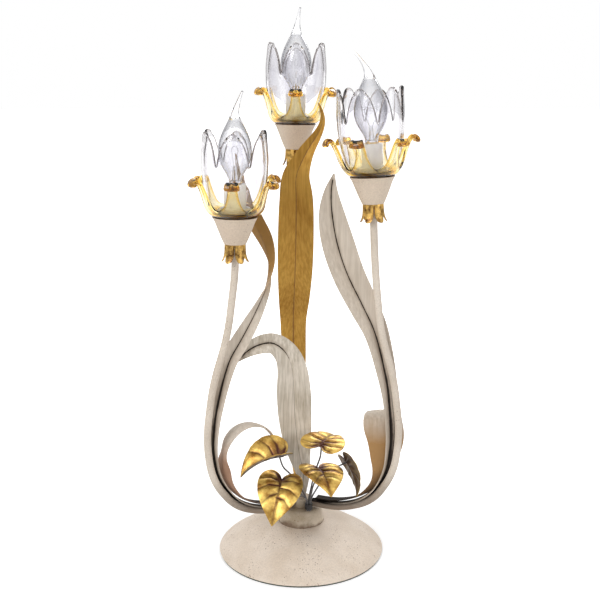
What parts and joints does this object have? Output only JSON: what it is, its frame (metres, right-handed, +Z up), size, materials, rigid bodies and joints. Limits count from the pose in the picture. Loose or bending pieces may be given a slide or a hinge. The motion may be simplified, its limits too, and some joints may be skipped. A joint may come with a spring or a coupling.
{
  "type": "table lamp",
  "caption": "Tulip table lamp: domed base, bent tube stems with leaves, notched glass tulip shades over amber calyxes, candle bulbs and heart-shaped leaves.",
  "frame": {"origin": "centre of the felt's underside, on the table", "axes": "+Z up; -Y towards the viewer of the picture; +X to the viewer's right"},
  "size_m": [0.2368, 0.235, 0.6104],
  "materials": {
    "cream_paint": "satin, aged and flecked",
    "ivory_paint": "satin, with a dark patina in the creases",
    "antique_gold": "brushed antique gold leaf",
    "amber_glass": "translucent amber",
    "clear_glass": "clear, fire-polished",
    "bulb_glass": "clear",
    "holder_plastic": "smooth",
    "brass": "plain",
    "bulb_mount": "clear stem with fine filament",
    "cast_weight": "rough",
    "felt": "felt",
    "dark_wire": "oxidised",
    "lead_sheath": "smooth",
    "plated_steel": "zinc plated"
  },
  "bodies": {
    "stand": {"base_dome": "cream_paint", "base_felt": "felt", "base_nut": "plated_steel", "base_spacer": "plated_steel", "base_washer": "plated_steel", "base_weight": "cast_weight", "calyx_back": "amber_glass", "calyx_left": "amber_glass", "calyx_right": "amber_glass", "centre_rod": "plated_steel", "collar_cup": "cream_paint", "contact_springs": "brass", "cup_back": "cream_paint", "cup_left": "cream_paint", "cup_right": "cream_paint", "curl_left": "ivory_paint", "curl_right": "ivory_paint", "heart_far": "antique_gold", "heart_front": "antique_gold", "heart_left": "antique_gold", "heart_right": "antique_gold", "heart_top": "antique_gold", "heart_wires": "dark_wire", "hub": "cream_paint", "lampholder_back": "holder_plastic", "lampholder_left": "holder_plastic", "lampholder_right": "holder_plastic", "lead_wires": "lead_sheath", "leaf_arched": "ivory_paint", "leaf_back": "antique_gold", "leaf_left": "ivory_paint", "leaf_right": "ivory_paint", "lock_nuts": "plated_steel", "nipples": "brass", "screw_shells": "brass", "sepals_back": "antique_gold", "sepals_left": "antique_gold", "sepals_right": "antique_gold", "shade_ring_back": "holder_plastic", "shade_ring_left": "holder_plastic", "shade_ring_right": "holder_plastic", "stem_back": "cream_paint", "stem_left": "cream_paint", "stem_right": "cream_paint", "tulip_back": "clear_glass", "tulip_left": "clear_glass", "tulip_right": "clear_glass", "wire_binding": "dark_wire"},
    "stud_left": {"bulb_stud_left": "plated_steel"},
    "bulb_left": {"bulb_glass_left": "bulb_glass", "bulb_cap_left": "brass", "bulb_mount_left": "bulb_mount"},
    "stud_right": {"bulb_stud_right": "plated_steel"},
    "bulb_right": {"bulb_glass_right": "bulb_glass", "bulb_cap_right": "brass", "bulb_mount_right": "bulb_mount"},
    "stud_back": {"bulb_stud_back": "plated_steel"},
    "bulb_back": {"bulb_glass_back": "bulb_glass", "bulb_cap_back": "brass", "bulb_mount_back": "bulb_mount"}
  },
  "joints": [
    {"name": "bulb_rise_left", "type": "slide", "parent": "stand", "child": "stud_left", "axis": [0.0122, 0, 0.9999], "range_m": [0, 0.0085]},
    {"name": "bulb_turn_left", "type": "hinge", "parent": "stud_left", "child": "bulb_left", "pos_m": [-0.06841, -0.04909, 0.3682], "axis": [0.0122, 0, 0.9999], "range_deg": [0, 1080]},
    {"name": "bulb_rise_right", "type": "slide", "parent": "stand", "child": "stud_right", "axis": [-0.0445, 0.0201, 0.9988], "range_m": [0, 0.0085]},
    {"name": "bulb_turn_right", "type": "hinge", "parent": "stud_right", "child": "bulb_right", "pos_m": [0.07498, -0.03392, 0.4079], "axis": [-0.0445, 0.0201, 0.9988], "range_deg": [0, 1080]},
    {"name": "bulb_rise_back", "type": "slide", "parent": "stand", "child": "stud_back", "axis": [0.014, 0, 0.9999], "range_m": [0, 0.0085]},
    {"name": "bulb_turn_back", "type": "hinge", "parent": "stud_back", "child": "bulb_back", "pos_m": [-0.0069, 0.08392, 0.4553], "axis": [0.014, 0, 0.9999], "range_deg": [0, 1080]}
  ],
  "couplings": [
    {"joint": "bulb_rise_left", "follows": "bulb_turn_left", "m_per_rad": 0.00044882},
    {"joint": "bulb_rise_right", "follows": "bulb_turn_right", "m_per_rad": 0.00044882},
    {"joint": "bulb_rise_back", "follows": "bulb_turn_back", "m_per_rad": 0.00044882}
  ]
}
